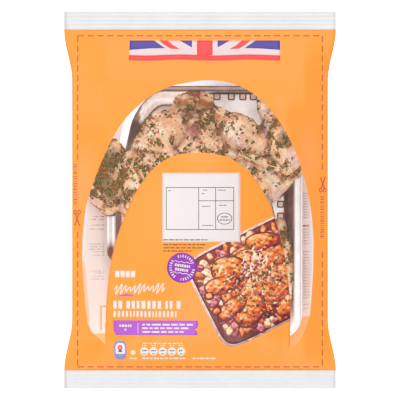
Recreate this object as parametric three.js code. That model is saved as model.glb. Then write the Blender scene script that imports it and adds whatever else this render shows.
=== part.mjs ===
// A whole raw chicken in its foil tray, sealed in a printed film bag and lying on its back.
// The bag is one closed body: film drawn over the bird and the tray, and a flat crimped seal at each end.
// Millimetres. X runs across the bag, Y from its foot to its head, Z up from the surface it lies on.
import * as THREE from "three";
import { ParametricGeometry } from "three/addons/geometries/ParametricGeometry.js";
import { mergeGeometries } from "three/addons/utils/BufferGeometryUtils.js";

// The bag's outline, seen from above.
const BAG_LENGTH = 415;
const SEAL_WIDTH = 299;
const BODY_WIDTH = 281.5;
const SEAL_DEPTH = 20;
const NECK_LENGTH = 56; // over which the sides draw in from the seal to the body

// Heights.
const BAG_HEIGHT = 98;
const SEAL_HEIGHT = 30; // where the two films meet
const SEAL_THICKNESS = 1.2;
const RIB_HEIGHT = 0.6;
const RIB_PITCH = 4.4;

// How full the bag is: the powers of its cross-section, of its profile along Y towards the foot,
// and of the breast's shorter profile towards the head, which ends at BREAST_REACH.
const ACROSS = { power: 2.1, fall: 1.3 };
const ALONG = { power: 2.9, fall: 1.02 };
const BREAST = { power: 2, fall: 1 };
const BREAST_REACH = 128;

// The foil tray inside, which the film is drawn over and lies under.
const TRAY = { left: -102, right: 114, foot: -154, head: 123.5, rimHeight: 47 };
const TRAY_BASE = { left: -80, right: 92, foot: -134, head: 104 };
const BASE_CURL = 1.2; // how the underside curls up from the tray's base to the bag's edge

// What of the bird holds the film out: its two thighs, over the tray's rim, its two drumsticks and its tail.
const LIMBS = [
  { x: -101, y: 20, spreadX: 34, spreadY: 58, rise: 40 },
  { x: 92, y: 54, spreadX: 34, spreadY: 60, rise: 41 },
  { x: -46, y: 68, spreadX: 36, spreadY: 30, rise: 38 },
  { x: 38, y: 76, spreadX: 36, spreadY: 28, rise: 38 },
  { x: -6, y: 104, spreadX: 26, spreadY: 16, rise: 30 },
];
const LIMB_FALL = 2.4;
const EDGE_POWER = 14; // takes what the film is drawn over down to nothing at the bag's edge

// A low swelling over the middle of the breast.
const SWELLING = { x: 4, y: -24, spreadX: 46, spreadY: 70, rise: 5 };
const DRAPE = 4; // the power of the sum that lays the film over the highest thing below it

// The mesh.
const COLUMNS = 36;
const BODY_ROWS = 44;
const EDGE_CROWDING = 0.35; // 0 spaces the columns and rows evenly, 1 crowds them to the edges

const HALF_LENGTH = BAG_LENGTH / 2;
const SEAL_START = HALF_LENGTH - SEAL_DEPTH;

function smooth(t) {
  const c = Math.min(Math.max(t, 0), 1);
  return c * c * (3 - 2 * c);
}

// Half the bag's width at a given y: narrow round the contents, wide at the flat seals.
function halfWidth(y) {
  const neck = smooth((Math.abs(y) - (SEAL_START - NECK_LENGTH)) / NECK_LENGTH);
  return (BODY_WIDTH + (SEAL_WIDTH - BODY_WIDTH) * neck) / 2;
}

// 1 in the middle and 0 at the edge, for a share of the way out.
function dome(share, { power, fall }) {
  return Math.pow(Math.max(1 - Math.pow(Math.abs(share), power), 0), fall);
}

// The crimp's ribs run across the bag, as a zigzag in both films together.
function ribs(y) {
  const depth = Math.max(Math.abs(y) - SEAL_START, 0) / RIB_PITCH;
  const phase = depth - Math.floor(depth);
  return RIB_HEIGHT * (1 - Math.abs(2 * phase - 1));
}

// How high a lump stands at a place: its rise, falling as e to the minus distance to a power.
function lumpAt(lump, fall, x, y) {
  const away = Math.hypot((x - lump.x) / lump.spreadX, (y - lump.y) / lump.spreadY);
  return lump.rise * Math.exp(-Math.pow(away, fall));
}

const SWELLING_FALL = 2;
const swellingAt = (x, y) => lumpAt(SWELLING, SWELLING_FALL, x, y);

// The crown's profile along the bag.
function lengthwise(y) {
  return y < 0 ? dome(y / SEAL_START, ALONG) : dome(y / BREAST_REACH, BREAST);
}

// How far out a place lies, from 0 on a box to 1 on the bag's edge.
function past(value, low, high, edge) {
  return Math.min(Math.max((value - high) / (edge - high), (low - value) / (edge + low), 0), 1);
}

// The film over the tray's rim, falling straight to the bag's edge.
function overTray(x, y) {
  const across = past(x, TRAY.left, TRAY.right, halfWidth(y));
  const along = past(y, TRAY.foot, TRAY.head, SEAL_START);
  return (TRAY.rimHeight - SEAL_HEIGHT) * (1 - across) * (1 - along);
}

const CROWN = BAG_HEIGHT - SEAL_HEIGHT - SEAL_THICKNESS / 2 - swellingAt(0, 0);

function topHeight(share, y) {
  const x = share * halfWidth(y);
  const edge = { power: EDGE_POWER, fall: 1 };
  const taper = dome(share, edge) * dome(y / SEAL_START, edge);
  const heights = [
    CROWN * dome(share, ACROSS) * lengthwise(y),
    overTray(x, y),
    ...LIMBS.map((limb) => taper * lumpAt(limb, LIMB_FALL, x, y)),
  ];
  const draped = Math.pow(heights.reduce((sum, h) => sum + Math.pow(h, DRAPE), 0), 1 / DRAPE);
  return SEAL_HEIGHT + SEAL_THICKNESS / 2 + draped + taper * swellingAt(x, y) + ribs(y);
}

// Flat under the tray's base, curling up to the seals' height at the sides and ends.
function undersideHeight(share, y) {
  const across = past(share * halfWidth(y), TRAY_BASE.left, TRAY_BASE.right, halfWidth(y));
  const along = past(y, TRAY_BASE.foot, TRAY_BASE.head, SEAL_START);
  const out = Math.min(Math.hypot(across, along), 1);
  return (SEAL_HEIGHT - SEAL_THICKNESS / 2) * Math.pow(out, BASE_CURL) + ribs(y);
}

// Positions from -1 to 1, a little closer together near both ends.
function spaced(count) {
  return Array.from({ length: count + 1 }, (_, i) => {
    const even = (2 * i) / count - 1;
    return (1 - EDGE_CROWDING) * even + EDGE_CROWDING * Math.sin((even * Math.PI) / 2);
  });
}

// A row at each rib's foot and crest, then the body's rows.
function rowPositions() {
  const count = Math.floor(SEAL_DEPTH / (RIB_PITCH / 2));
  const seal = Array.from({ length: count }, (_, i) => SEAL_START + (i + 1) * (RIB_PITCH / 2));
  seal[count - 1] = HALF_LENGTH;
  const body = spaced(BODY_ROWS).map((t) => t * SEAL_START);
  return [...seal.map((y) => -y).reverse(), ...body, ...seal];
}

const columns = spaced(COLUMNS);
const rows = rowPositions();

// A point of the top or the underside, by column and row.
function pointAt(column, row, isTop, target) {
  const share = columns[column];
  const y = rows[row];
  const z = isTop ? topHeight(share, y) : undersideHeight(share, y);
  target.set(share * halfWidth(y), y, z);
}

function face(isTop) {
  const lastColumn = columns.length - 1;
  const lastRow = rows.length - 1;
  const place = (u, v, target) => {
    const column = Math.round((isTop ? u : 1 - u) * lastColumn);
    pointAt(column, Math.round(v * lastRow), isTop, target);
  };
  return new ParametricGeometry(place, lastColumn, lastRow);
}

// The film's edge, all the way round, between the two faces.
function rim() {
  const lastColumn = columns.length - 1;
  const lastRow = rows.length - 1;
  const loop = [];
  for (let row = 0; row < lastRow; row += 1) loop.push([lastColumn, row]);
  for (let column = lastColumn; column > 0; column -= 1) loop.push([column, lastRow]);
  for (let row = lastRow; row > 0; row -= 1) loop.push([0, row]);
  for (let column = 0; column < lastColumn; column += 1) loop.push([column, 0]);
  const place = (u, v, target) => {
    const [column, row] = loop[Math.round(u * loop.length) % loop.length];
    pointAt(column, row, v > 0.5, target);
  };
  return new ParametricGeometry(place, loop.length, 1);
}

const printedFilm = new THREE.MeshStandardMaterial({ color: 0xfea54c, roughness: 0.35, metalness: 0 });

const bag = new THREE.Mesh(mergeGeometries([face(true), face(false), rim()]), printedFilm);
bag.name = "sealed_bag";

const pack = new THREE.Group();
pack.add(bag);

export default pack;
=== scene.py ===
# A seasoned raw chicken in a foil tray, sealed in a printed film bag that lies on its back.
# Shapes are worked out in millimetres, X across the bag and Y towards its head, and put in as metres.
import bpy
import numpy as np
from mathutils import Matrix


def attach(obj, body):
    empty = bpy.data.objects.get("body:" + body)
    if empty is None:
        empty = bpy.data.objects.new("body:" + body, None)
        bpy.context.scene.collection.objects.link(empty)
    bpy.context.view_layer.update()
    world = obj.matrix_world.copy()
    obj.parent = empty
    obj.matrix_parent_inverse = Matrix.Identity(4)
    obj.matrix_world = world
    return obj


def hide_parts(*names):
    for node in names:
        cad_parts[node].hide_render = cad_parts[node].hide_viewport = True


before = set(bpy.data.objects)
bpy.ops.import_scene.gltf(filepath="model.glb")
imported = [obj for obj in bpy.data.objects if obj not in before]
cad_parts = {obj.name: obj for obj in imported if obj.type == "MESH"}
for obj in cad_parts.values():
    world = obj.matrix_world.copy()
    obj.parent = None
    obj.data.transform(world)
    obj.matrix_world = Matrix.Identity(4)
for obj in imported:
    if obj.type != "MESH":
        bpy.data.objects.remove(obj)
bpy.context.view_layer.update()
mm = 0.001
mmPerPixel = 1.1  # the photo's scale on the bag
photoCentre = np.array([200, 199.75])

# The bag's form, as the solid in the frame has it.
bag = {
    "length": 415, "sealWidth": 299, "bodyWidth": 281.5, "sealDepth": 20, "neckLength": 56,
    "height": 97.3, "sealHeight": 30, "sealThickness": 1.2, "ribHeight": 0.6, "ribPitch": 4.4,
    "across": (2.1, 1.3), "along": (2.9, 1.02), "breast": (2, 1), "breastReach": 128,
    "edgePower": 14, "drape": 4, "limbFall": 2.4, "baseCurl": 1.2,
    "limbs": [
        (-101, 20, 34, 58, 40), (92, 54, 34, 60, 41), (-46, 68, 36, 30, 38), (38, 76, 36, 28, 38),
        (-6, 104, 26, 16, 30),
    ],
    "swelling": (4, -24, 46, 70, 5),
    "tray": (-102, 114, -154, 123.5), "rimHeight": 47, "trayBase": (-80, 92, -134, 104),
    "filmThickness": 0.15,
    "gather": 0.49, "gatherReach": 26, "gatherEnd": 8, "gatherWidth": 26,  # creases out of the seals
}
sealStart = bag["length"] / 2 - bag["sealDepth"]


def smooth(t):
    # 3t^2 - 2t^3 between 0 and 1
    t = np.clip(t, 0, 1)
    return t * t * (3 - 2 * t)


def halfWidth(y):
    # half the body's width, and half the seal's past the neck
    neck = smooth((np.abs(y) - (sealStart - bag["neckLength"])) / bag["neckLength"])
    return (bag["bodyWidth"] + (bag["sealWidth"] - bag["bodyWidth"]) * neck) / 2


def dome(share, power, fall):
    # (1 - share^power)^fall: 1 in the middle, 0 at the edge
    return np.maximum(1 - np.abs(share) ** power, 0) ** fall


def ribs(y):
    # cosine ribs in both films together, from the seals' inner edges outwards
    depth = np.maximum(np.abs(y) - sealStart, 0) / bag["ribPitch"]
    return bag["ribHeight"] * (1 - np.cos(2 * np.pi * depth)) / 2


def hump(x, y, cx, cy, reachX, reachY):
    # e^-(dx^2 + dy^2), each distance taken as a share of its reach
    return np.exp(-(((x - cx) / reachX) ** 2) - ((y - cy) / reachY) ** 2)


def swellingAt(x, y):
    # a low hump over the breast
    *place, rise = bag["swelling"]
    return rise * hump(x, y, *place)


def lengthwise(y):
    # full towards the foot, and falling sooner over the breast's end towards the head
    towardsHead = dome(np.maximum(y, 0) / bag["breastReach"], *bag["breast"])
    return np.where(y < 0, dome(y / sealStart, *bag["along"]), towardsHead)


def past(value, low, high, edge):
    # how far out a place lies, from 0 on a box to 1 on the bag's edge
    return np.clip(np.maximum((value - high) / (edge - high), (low - value) / (edge + low)), 0, 1)


def eased(share):
    # share^2 * 1.15 / (share + 0.15): starts level, without an edge in the film
    return share * share * 1.15 / (share + 0.15)


def waves(points, wavelength, seed, count=9):
    # a smooth random field: the sum of plane waves in seeded directions, about -1 to 1
    draw = np.random.default_rng(seed)
    size = points.shape[-1]
    direction = draw.normal(size=(count, size))
    direction /= np.linalg.norm(direction, axis=1)[:, None]
    pace = 2 * np.pi / (wavelength * draw.uniform(0.7, 1.4, count))
    phase = draw.uniform(0, 2 * np.pi, count)
    return np.sin(points @ (direction * pace[:, None]).T + phase).sum(axis=-1) * np.sqrt(2 / count) / 1.6


def gathers(x, y):
    # creases across x that start at a seal, grow to their height and die away along the body
    away = np.maximum(sealStart - np.abs(y), 0) / bag["gatherReach"]
    strength = bag["gather"] * away * np.exp(1 - away) * (away < bag["gatherEnd"])
    side = np.sign(y) * 40
    across = np.stack([x + side, 0.12 * y], axis=-1)
    return strength * (waves(across, bag["gatherWidth"], 4) - 1)


def filmTop(x, y):
    # the highest of the crown, the film over the tray and the limbs, by a sum of fourth powers
    half = halfWidth(y)
    share = x / half
    crown = bag["height"] - bag["sealHeight"] - bag["sealThickness"] / 2 - swellingAt(0, 0)
    taper = dome(share, bag["edgePower"], 1) * dome(y / sealStart, bag["edgePower"], 1)
    left, right, foot, head = bag["tray"]
    overTray = (bag["rimHeight"] - bag["sealHeight"]) * (1 - eased(past(x, left, right, half)))
    overTray = overTray * (1 - eased(past(y, foot, head, sealStart)))
    heights = [crown * dome(share, *bag["across"]) * lengthwise(y), overTray]
    for cx, cy, spreadX, spreadY, rise in bag["limbs"]:
        away = np.hypot((x - cx) / spreadX, (y - cy) / spreadY)
        heights.append(taper * rise * np.exp(-(away ** bag["limbFall"])))
    draped = sum(h ** bag["drape"] for h in heights) ** (1 / bag["drape"])
    base = bag["sealHeight"] + bag["sealThickness"] / 2
    return base + draped + taper * swellingAt(x, y) + ribs(y) + taper * gathers(x, y)


def filmUnder(x, y):
    # flat under the tray's base, curling up to the seals' height
    left, right, foot, head = bag["trayBase"]
    out = np.hypot(past(x, left, right, halfWidth(y)), past(y, foot, head, sealStart))
    return (bag["sealHeight"] - bag["sealThickness"] / 2) * np.minimum(out, 1) ** bag["baseCurl"] + ribs(y)


def fromPhoto(points):
    # photo pixels, x right and y down, to millimetres on the bag
    return (np.asarray(points, float) - photoCentre) * [mmPerPixel, -mmPerPixel]


def curveThrough(knots, count):
    # Catmull-Rom: each stretch is a cubic, and its slope at a knot is half the step between the neighbours
    knots = np.asarray(knots, float)
    ends = np.vstack([2 * knots[0] - knots[1], knots, 2 * knots[-1] - knots[-2]])
    t = np.linspace(0, len(knots) - 1, count)
    i = np.minimum(t.astype(int), len(knots) - 2)
    f = (t - i)[:, None]
    a, b, c, d = (ends[i + step] for step in range(4))
    return b + 0.5 * f * (c - a + f * (2 * a - 5 * b + 4 * c - d + f * (3 * b - a - 3 * c + d)))


def gridQuads(rows, columns, closed=False):
    # the quads of a grid of points, row by row; closed joins each row's end to its start
    across = columns if closed else columns - 1
    r, c = np.meshgrid(np.arange(rows - 1), np.arange(across), indexing="ij")
    start, beside = r * columns + c, r * columns + (c + 1) % columns
    return np.stack([start, beside, beside + columns, start + columns], axis=-1).reshape(-1, 4)


def joined(parts):
    # several (points, quads) as one
    offset = 0
    points, quads = [], []
    for p, q in parts:
        points.append(p.reshape(-1, 3))
        quads.append(q + offset)
        offset += len(points[-1])
    return np.vstack(points), np.vstack(quads)


def makeMesh(name, points, faces):
    # millimetre points and equal-sided faces, as whole arrays
    mesh = bpy.data.meshes.new(name)
    mesh.vertices.add(len(points))
    mesh.vertices.foreach_set("co", (np.asarray(points) * mm).astype(np.float32).ravel())
    mesh.loops.add(faces.size)
    mesh.loops.foreach_set("vertex_index", faces.astype(np.int32).ravel())
    mesh.polygons.add(len(faces))
    mesh.polygons.foreach_set("loop_start", np.arange(0, faces.size, faces.shape[1], dtype=np.int32))
    mesh.polygons.foreach_set("use_smooth", np.ones(len(faces), bool))
    mesh.update(calc_edges=True)
    mesh.validate()
    return mesh


def addPiece(name, points, faces, material, slot, weld=0.0, thickness=0.0, thin=False):
    # a piece that rides on the body and stands for the closed solid; a thin one lets light through
    mesh = makeMesh(name, points, faces)
    piece = bpy.data.objects.new(name, mesh)
    bpy.context.scene.collection.objects.link(piece)
    mesh.materials.append(material)
    if weld:
        merge = piece.modifiers.new("weld", "WELD")
        merge.merge_threshold = weld * mm
    if thickness:
        wall = piece.modifiers.new("wall", "SOLIDIFY")
        wall.thickness = thickness * mm
        wall.offset = -1
    piece.visible_shadow = piece.visible_diffuse = not thin
    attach(piece, "root")
    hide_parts("sealed_bag")
    return piece


def setValues(piece, name, values):
    # one value for each vertex, for a material to read
    attribute = piece.data.attributes.new(name, "FLOAT", "POINT")
    attribute.data.foreach_set("value", values.astype(np.float32))


def linear(red, green, blue):
    # a screen colour, 0 to 255, as scene light
    c = np.array([red, green, blue]) / 255
    return (*np.where(c <= 0.04045, c / 12.92, ((c + 0.055) / 1.055) ** 2.4), 1.0)


# Shader helpers. A source is a socket to link from, or a plain value; nodes are made in the tree of a
# home, which is a node or socket of it.
def put(socket, source):
    # linked or set
    if hasattr(source, "links"):
        socket.id_data.links.new(source, socket)
    else:
        socket.default_value = source


def feed(made, **sources):
    # a node's sockets by their names, with _ for a space
    for name, source in sources.items():
        put(made.inputs[name.replace("_", " ")], source)


def node(home, kind, *sources, **named):
    # a node, fed by its sockets' order or names
    made = home.id_data.nodes.new("ShaderNode" + kind)
    for socket, source in zip(made.inputs, sources):
        put(socket, source)
    feed(made, **named)
    return made


def maths(operation, *sources):
    # one step of arithmetic on sockets and numbers
    made = node(next(source for source in sources if hasattr(source, "links")), "Math", *sources)
    made.operation = operation
    return made.outputs[0]


def times(first, second):
    # the two multiplied
    return maths("MULTIPLY", first, second)


def mixColour(mask, low, high):
    # low where the mask is 0, high where it is 1; each a socket, a screen colour or scene light
    made = node(mask, "Mix")
    made.data_type = "RGBA"
    for place, source in ((0, mask), (6, low), (7, high)):
        isScreen = isinstance(source, tuple) and len(source) == 3
        put(made.inputs[place], linear(*source) if isScreen else source)
    return made.outputs[2]


def ranged(value, low, high):
    # a 0 to 1 value as low to high
    return node(value, "MapRange", Value=value, To_Min=low, To_Max=high).outputs[0]


def stepped(value, start, end):
    # 0 up to start, 1 past end, straight between them
    return node(value, "MapRange", Value=value, From_Min=start, From_Max=end).outputs[0]


def attribute(home, name):
    # what a vertex carries under a name
    made = node(home, "Attribute")
    made.attribute_name = name
    return made.outputs["Fac"]


# Shader groups: masks and heights that the materials share.
groups = {}


def newGroup(name, result, **given):
    # a group of one place, more vectors (None) or numbers in, and one mask or height out
    tree = groups[name] = bpy.data.node_groups.new(name, "ShaderNodeTree")
    for label, value in {"Vector": None, **given}.items():
        kind = "NodeSocketVector" if value is None else "NodeSocketFloat"
        socket = tree.interface.new_socket(label, in_out="INPUT", socket_type=kind)
        if value is not None:
            socket.default_value = value
    tree.interface.new_socket(result, in_out="OUTPUT", socket_type="NodeSocketFloat")
    return tree.nodes.new("NodeGroupInput").outputs, tree.nodes.new("NodeGroupOutput").inputs[result]


def mottleGroup():
    # a coarse noise and a fine one, weighted 2 to 1 and stretched about the middle
    given, mask = newGroup("mottle", "Mask", Scale=60.0, Contrast=2.0)
    both = node(mask, "Mix", 0.33)
    for place, pace in ((2, given["Scale"]), (3, times(given["Scale"], 4.3))):
        put(both.inputs[place], node(mask, "TexNoise", given["Vector"], Scale=pace).outputs["Fac"])
    wide = times(maths("SUBTRACT", both.outputs[0], 0.5), given["Contrast"])
    clamped = maths("ADD", wide, 0.5)
    clamped.node.use_clamp = True
    put(mask, clamped)


def spotGroup():
    # 1 at a centre, 0 past a radius, with a noisy edge
    given, mask = newGroup("spot", "Mask", Centre=None, Radius=0.02)
    noise = node(mask, "TexNoise", given["Vector"], Scale=90.0).outputs["Fac"]
    off = node(mask, "VectorMath", given["Vector"], given["Centre"])
    off.operation = "DISTANCE"
    share = maths("DIVIDE", off.outputs["Value"], given["Radius"])
    put(mask, stepped(maths("MULTIPLY_ADD", noise, 0.9, share), 1.45, 0.75))


def specksGroup():
    # the middles of scattered cells: 1 within a share of the cell, 0 outside
    given, mask = newGroup("specks", "Mask", Scale=500.0, Size=0.2)
    cells = node(mask, "TexVoronoi", given["Vector"], Scale=given["Scale"])
    put(mask, stepped(cells.outputs["Distance"], given["Size"], times(given["Size"], 0.6)))


def rippleGroup():
    # long low ripples of a taut film, a noise stretched along Y, and a fine noise over them
    given, height = newGroup("filmRipple", "Height")
    drawn = node(height, "Mapping", given["Vector"], Scale=(1.0, 0.45, 1.0)).outputs[0]
    long = node(height, "TexNoise", drawn, Scale=22.0, Detail=1.0).outputs["Fac"]
    fine = node(height, "TexNoise", given["Vector"], Scale=260.0, Detail=2.0).outputs["Fac"]
    put(height, maths("MULTIPLY_ADD", fine, 0.05, long))


for makeGroup in (mottleGroup, spotGroup, specksGroup, rippleGroup):
    makeGroup()


def useGroup(name, **sources):
    # a shared group placed in a material
    made = node(sources["Vector"], "Group")
    made.node_tree = groups[name]
    feed(made, **sources)
    return made.outputs[0]


def mottle(where, scale, contrast):
    # the mottle group, by its scale to the metre and its contrast
    return useGroup("mottle", Vector=where, Scale=scale, Contrast=contrast)


def newMaterial(name, **plain):
    # a Principled material with plain values, its shader and Object coordinates
    material = bpy.data.materials.new(name)
    material.use_nodes = True
    bsdf = material.node_tree.nodes["Principled BSDF"]
    feed(bsdf, **plain)
    return material, bsdf, node(bsdf, "TexCoord").outputs["Object"]


def bump(bsdf, height, distance):
    # a height, in units of distance, as the surface's normal
    feed(bsdf, Normal=node(bsdf, "Bump", Height=height, Distance=distance).outputs[0])


def ripple(bsdf, where, distance):
    # the film's ripple as bump
    bump(bsdf, useGroup("filmRipple", Vector=where), distance)


film = {"dulled": 0.94, "roughness": (0.36, 0.5), "ripple": 0.0006, "specular": 0.35}


def filmMaterial(name, rgb, specular=film["specular"]):
    # glossy printed film: its colour dulled a little in clouds, with the film's ripple as bump
    material, bsdf, where = newMaterial(name, Specular_IOR_Level=specular)
    colour = linear(*rgb)
    dulled = (*(film["dulled"] * part for part in colour[:3]), 1.0)
    feed(
        bsdf, Base_Color=mixColour(mottle(where, 16.0, 1.6), dulled, colour),
        Roughness=ranged(mottle(where, 70.0, 1.5), *film["roughness"]),
    )
    ripple(bsdf, where, film["ripple"])
    return material


inkColours = {  # each ink: its record slot and its colour on screen
    "whiteInk": ("white_ink", (230, 221, 216)), "darkInk": ("dark_ink", (70, 58, 60)),
    "rustInk": ("rust_ink", (196, 80, 48)), "purpleInk": ("purple_ink", (142, 54, 170)),
    "lilacInk": ("purple_ink", (174, 90, 196)), "redInk": ("red_ink", (247, 72, 72)),
    "blueInk": ("blue_ink", (80, 70, 150)), "peachInk": ("white_ink", (255, 218, 178)),
    "hazeInk": ("white_ink", (228, 214, 214)), "bloomInk": ("white_ink", (255, 186, 146)),
    "roseInk": ("red_ink", (240, 160, 156)), "mistInk": ("blue_ink", (142, 142, 194)),
    "labelInk": ("white_ink", (223, 214, 213)), "pinkInk": ("white_ink", (221, 200, 199)),
    "greyInk": ("dark_ink", (243, 222, 216)),
}
inkSpecular = {"greyInk": 0.5}
orange = filmMaterial("orangeFilm", (255, 150, 55))
inks = {
    name: filmMaterial(name, rgb, inkSpecular.get(name, film["specular"]))
    for name, (slot, rgb) in inkColours.items()
}
print("film and ink materials made")

# The printed front. Its outlines are in the photo's pixels; fromPhoto turns them to millimetres.
front = {
    "apex": 80, "archHeight": 169.5, "archHalf": 115.7, "archPower": 0.46, "springing": 250,
    "archCentre": 197.8, "archLean": 9, "leanFade": 36,  # the apex lies right of the arch's middle
    # where both arches' left sides lie further in
    "drawnIn": (3.4, 160, 36), "apexDrawnIn": (4.5, 81.5, 2.6), "innerDrawnIn": (3.2, 192, 50),
    "leftFoot": [
        (250, 82), (262, 82), (283, 83.2), (307, 85.2), (323, 87.4), (331, 91), (336, 97), (344, 105.4),
    ],
    "rightFoot": [
        (250, 313.4), (268, 313.3), (293, 311.7), (316, 309.6), (333, 303.7), (341, 299.2), (348, 289.9),
    ],
    "innerApex": 153, "innerHeight": 170, "innerHalf": 92.3, "innerPower": 0.385, "innerCentre": 198.2,
    "innerSpringing": 323, "innerLeft": 105.4, "innerRight": 289.9,
    "rowStep": 2.2, "apexRows": 24, "headRows": 26, "footRows": 11,
    "columns": {"side": 44, "leg": 22, "middle": 60},
}


def bell(y, most, middle, spread):
    # most * e^-((y - middle) / spread)^2
    return most * np.exp(-(((y - middle) / spread) ** 2))


def archEdges(y):
    # the window's outer edges: half width * (1 - u^2)^power down to the springing, then each foot's knots
    springing = front["springing"]
    u = 1 - (np.clip(y, front["apex"], springing) - front["apex"]) / front["archHeight"]
    half = front["archHalf"] * np.maximum(1 - u * u, 0) ** front["archPower"]
    lean = front["archLean"] * np.minimum(np.exp(-(y - front["apex"]) / front["leanFade"]), 1)
    centre = front["archCentre"] + lean
    pulled = bell(y, *front["drawnIn"]) + bell(y, *front["apexDrawnIn"])
    leftFoot, rightFoot = (np.interp(y, *np.transpose(front[side])) for side in ("leftFoot", "rightFoot"))
    left = np.where(y <= springing, centre - half + pulled, leftFoot)
    right = np.where(y <= springing, centre + half, rightFoot)
    return np.minimum(left, right), right


def innerEdges(y):
    # the printed middle's edges: a fuller arch of the same kind, then straight down
    apex, springing = front["innerApex"], front["innerSpringing"]
    u = 1 - (np.clip(y, apex, springing) - apex) / front["innerHeight"]
    half = front["innerHalf"] * np.maximum(1 - u * u, 0) ** front["innerPower"]
    left = front["innerCentre"] - half + bell(y, *front["innerDrawnIn"]) * smooth((y - apex) / 8)
    left = np.where(y < springing, left, front["innerLeft"])
    right = np.where(y < springing, front["innerCentre"] + half, front["innerRight"])
    return left, right


def apexRows(top, bottom):
    # rows that crowd towards a top where the outline turns flat: squares of a count, then even steps
    count, step = front["apexRows"], front["rowStep"]
    near = top + step / (2 * count) * np.arange(count) ** 2
    start = top + step * count / 2
    return np.concatenate([near, np.linspace(start, bottom, int((bottom - start) / step) + 1)])


def filmRows():
    # every row of the printed front, in pixels down the photo
    head, foot = photoCentre[1] - sealStart / mmPerPixel, photoCentre[1] + sealStart / mmPerPixel
    leftEnd, rightEnd = front["leftFoot"][-1][0], front["rightFoot"][-1][0]
    apex, inner, springing = front["apex"], front["innerApex"], front["innerSpringing"]
    parts = [
        np.linspace(head, apex, front["headRows"]), apexRows(apex, inner), apexRows(inner, springing),
        np.linspace(springing, leftEnd, front["footRows"]), np.linspace(leftEnd, rightEnd, 3),
        np.linspace(rightEnd, foot, front["footRows"]),
    ]
    return np.unique(np.round(np.concatenate(parts), 6))


def filmBand(rows, left, right, columns):
    # the film between two edges given for each row, as points and quads facing up
    share = np.linspace(0, 1, columns)
    x = left[:, None] + (right - left)[:, None] * share
    y = np.repeat(rows[:, None], columns, axis=1)
    flat = fromPhoto(np.stack([x, y], axis=-1))
    points = np.dstack([flat, filmTop(flat[..., 0], flat[..., 1])])
    return points, gridQuads(len(rows), columns)[:, ::-1]


rows = filmRows()
archLeft, archRight = archEdges(rows)
innerLeft, innerRight = innerEdges(rows)
edge = halfWidth((photoCentre[1] - rows) * mmPerPixel) / mmPerPixel
columns = front["columns"]
leftEnd, rightEnd = front["leftFoot"][-1][0], front["rightFoot"][-1][0]
isMiddle = rows >= front["innerApex"]
inLeft = (rows >= front["apex"]) & (rows <= leftEnd)
inRight = (rows >= front["apex"]) & (rows <= rightEnd)
innerLeft = np.where(isMiddle, innerLeft, archLeft[inLeft][0])
innerRight = np.where(isMiddle, innerRight, archLeft[inLeft][0])
leftSide = np.where(rows > leftEnd, innerLeft, archLeft)
rightSide = np.where(rows > rightEnd, innerRight, archRight)
printed = joined([
    filmBand(rows, photoCentre[0] - edge, leftSide, columns["side"]),
    filmBand(rows, rightSide, photoCentre[0] + edge, columns["side"]),
    filmBand(rows[isMiddle], innerLeft[isMiddle], innerRight[isMiddle], columns["middle"]),
])
window = joined([
    filmBand(rows[inLeft], archLeft[inLeft], innerLeft[inLeft], columns["leg"]),
    filmBand(rows[inRight], innerRight[inRight], archRight[inRight], columns["leg"]),
])


def clearMaterial():
    # clear film: mostly the Transparent shader, and a gloss that grows towards grazing views
    material, bsdf, where = newMaterial("clearFilm", Base_Color=linear(250, 250, 252), Roughness=0.12)
    ripple(bsdf, where, 0.0005)
    share = ranged(node(bsdf, "LayerWeight", Blend=0.12).outputs["Fresnel"], 0.03, 0.75)
    through = node(bsdf, "BsdfTransparent", Color=(0.985, 0.985, 0.99, 1))
    both = node(bsdf, "MixShader", share, through.outputs[0], bsdf.outputs[0])
    feed(material.node_tree.nodes["Material Output"], Surface=both.outputs[0])
    return material


addPiece("printedFront", *printed, orange, "printed_film", 0.02, bag["filmThickness"], thin=True)
addPiece("clearWindow", *window, clearMaterial(), "clear_film", weld=0.02)
print("front film made,", len(rows), "rows")

# The print: small grids laid on the film, one piece for each ink. Places are in the photo's pixels.
layers = {"first": 0.16, "step": 0.05, "cell": 3.0, "thickness": 0.08}  # heights over the film, in mm
marks = {name: [] for name in inkColours}


def lay(ink, grid, level, under=False):
    # a grid of photo points put on the film at its layer's height, or inside the back film, facing up
    flat = fromPhoto(grid)
    height = layers["first"] + layers["step"] * level
    z = (filmUnder if under else filmTop)(flat[..., 0], flat[..., 1]) + height
    points = np.dstack([flat, z])
    quads = gridQuads(*grid.shape[:2])
    a, b, c = (points.reshape(-1, 3)[quads[:, corner]] for corner in (0, 1, 2))
    facing = np.cross(b - a, c - a)[:, 2].sum()
    marks[ink].append((points, quads if facing > 0 else quads[:, ::-1]))


def evenly(path, count):
    # a path at so many points, the same number of steps between each two of its own
    t = np.linspace(0, len(path) - 1, count)
    knots = np.asarray(path, float)
    return np.column_stack([np.interp(t, np.arange(len(path)), knots[:, i]) for i in (0, 1)])


def between(first, second):
    # straight lines from one edge to the other
    most = max(len(first), len(second))
    first, second = evenly(first, most), evenly(second, most)
    count = int(np.ceil(np.linalg.norm(second - first, axis=1).max() / layers["cell"])) + 1
    share = np.linspace(0, 1, count)[None, :, None]
    return first[:, None] * (1 - share) + second[:, None] * share


def along(knots):
    # points every few pixels on a line through knots, with the same share of them between each two
    step = np.linalg.norm(np.diff(np.asarray(knots, float), axis=0), axis=1).max() / layers["cell"]
    return evenly(knots, (len(knots) - 1) * int(np.ceil(step)) + 1)


def bar(left, top, right, bottom):
    # an upright rectangle
    return between(along([(left, top), (right, top)]), along([(left, bottom), (right, bottom)]))


def ribbon(path, width):
    # a band of a width to both sides of a line
    way = np.gradient(path, axis=0)
    way /= np.linalg.norm(way, axis=1)[:, None]
    beside = np.column_stack([-way[:, 1], way[:, 0]]) * np.broadcast_to(width, len(path))[:, None] / 2
    return between(path + beside, path - beside)


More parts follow.
